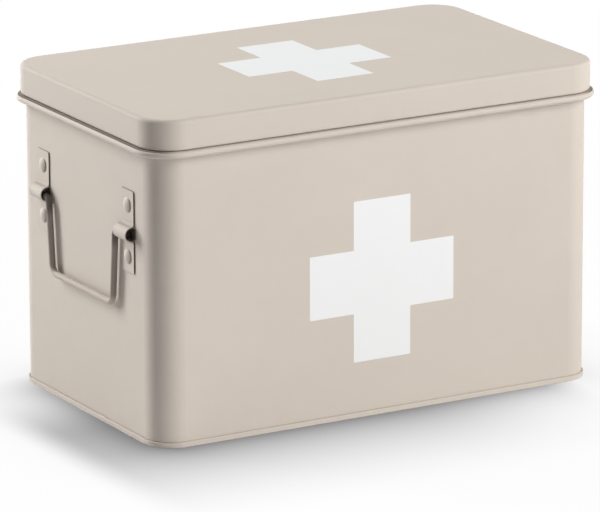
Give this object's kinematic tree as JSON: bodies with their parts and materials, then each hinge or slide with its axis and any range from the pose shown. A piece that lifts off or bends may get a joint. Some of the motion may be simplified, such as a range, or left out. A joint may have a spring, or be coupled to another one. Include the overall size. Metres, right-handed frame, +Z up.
{
  "type": "medicine box",
  "caption": "Rounded sheet-steel medicine box with a hinged lid, rolled bead, drop bails on riveted end brackets and a lift-out divided tray.",
  "frame": {"origin": "centre of the footprint, on the plane that the base seam stands on", "axes": "+X along the length to the right end, +Y from the front to the hinged back, +Z up"},
  "size_m": [0.3214, 0.195, 0.204],
  "materials": {
    "painted_sheet": "satin greige powder coat on sheet steel",
    "painted_fittings": "satin greige powder coat on strip and rivets",
    "painted_wire": "satin greige powder coat on bent wire",
    "bead_wire": "bright zinc-plated steel wire"
  },
  "bodies": {
    "box": {"body_wall": "painted_sheet", "neck_ring": "painted_sheet", "base_pan": "painted_sheet", "rim_wire": "bead_wire", "bracket_left_front": "painted_fittings", "bracket_left_rear": "painted_fittings", "bracket_right_front": "painted_fittings", "bracket_right_rear": "painted_fittings", "rivets_left_front": "painted_fittings", "rivets_left_rear": "painted_fittings", "rivets_right_front": "painted_fittings", "rivets_right_rear": "painted_fittings", "tray_ledge_left": "painted_sheet", "tray_ledge_right": "painted_sheet"},
    "lid": {"lid_shell": "painted_sheet", "hinge_strap_left": "painted_fittings", "hinge_strap_right": "painted_fittings", "hinge_rivets_left": "painted_fittings", "hinge_rivets_right": "painted_fittings"},
    "left_bail": {"bail_left": "painted_wire"},
    "right_bail": {"bail_right": "painted_wire"},
    "tray": {"tray_shell": "painted_sheet", "tray_long_divider": "painted_sheet", "tray_cross_dividers": "painted_sheet"}
  },
  "joints": [
    {"name": "lid_hinge", "type": "hinge", "parent": "box", "child": "lid", "pos_m": [0, 0.0954, 0.1826], "axis": [-1, 0, 0], "range_deg": [0, 105]},
    {"name": "left_bail_swing", "type": "hinge", "parent": "box", "child": "left_bail", "pos_m": [-0.157, 0, 0.1273], "axis": [0, 1, 0], "range_deg": [0, 180]},
    {"name": "right_bail_swing", "type": "hinge", "parent": "box", "child": "right_bail", "pos_m": [0.157, 0, 0.1273], "axis": [0, -1, 0], "range_deg": [0, 180]},
    {"name": "tray_lift", "type": "slide", "parent": "box", "child": "tray", "axis": [0, 0, 1], "range_m": [0, 0.03]}
  ]
}
